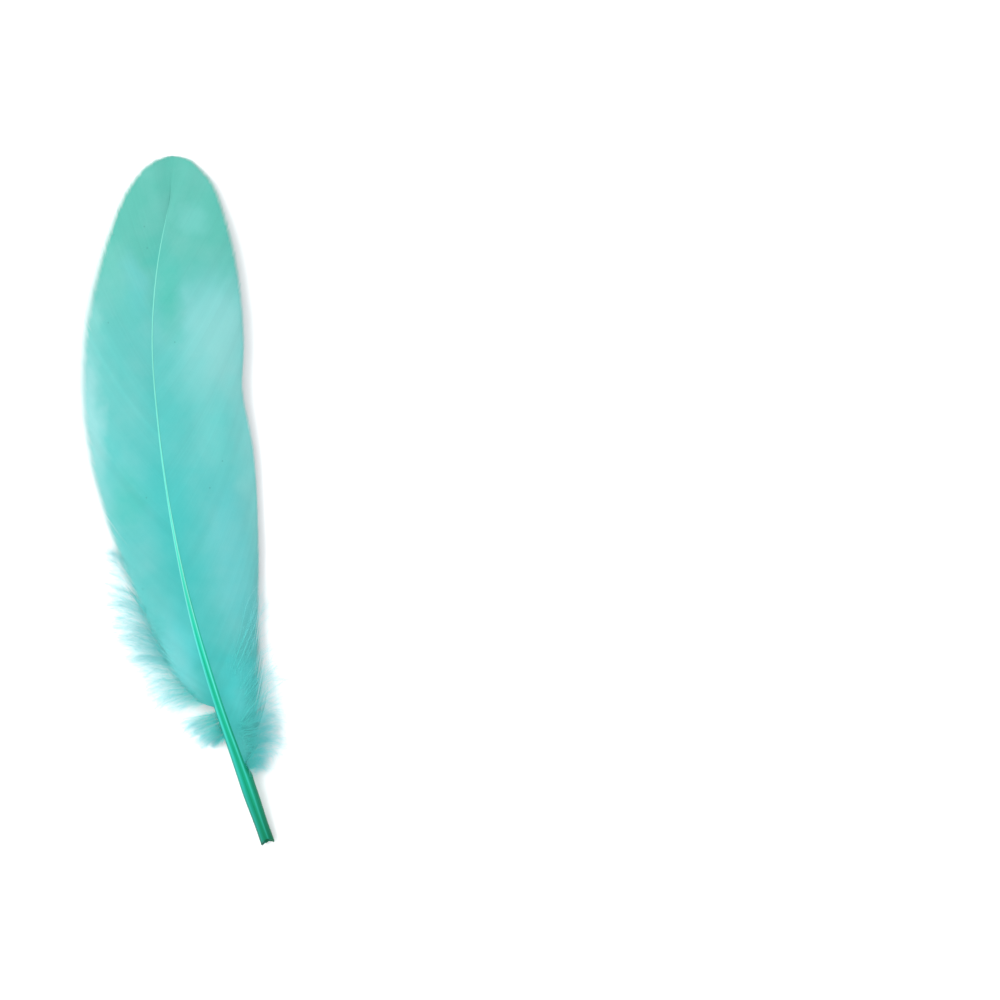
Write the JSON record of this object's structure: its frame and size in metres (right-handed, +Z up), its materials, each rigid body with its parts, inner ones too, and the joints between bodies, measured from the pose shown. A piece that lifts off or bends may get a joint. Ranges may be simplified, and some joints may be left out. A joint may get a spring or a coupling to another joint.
{
  "type": "goose quill feather",
  "caption": "Dyed goose quill feather with a bare hollow quill, a curved tapering shaft, a smooth vane on each side and loose down at its foot; lies back upwards.",
  "frame": {"origin": "middle of the feather's footprint, on the table it lies on", "axes": "+Y along the feather from the quill's cut end to the tip, +Z up out of the table, from the underside to the back; +X to the side of the wider vane"},
  "size_m": [0.0483, 0.1754, 0.0074],
  "materials": {
    "quill_horn": "satin",
    "vane_barbs": "matte",
    "down_fluff": "matte"
  },
  "bodies": {
    "root": {"shaft": "quill_horn", "left_vane": "vane_barbs", "right_vane": "vane_barbs", "left_down": "down_fluff", "right_down": "down_fluff"}
  },
  "joints": []
}
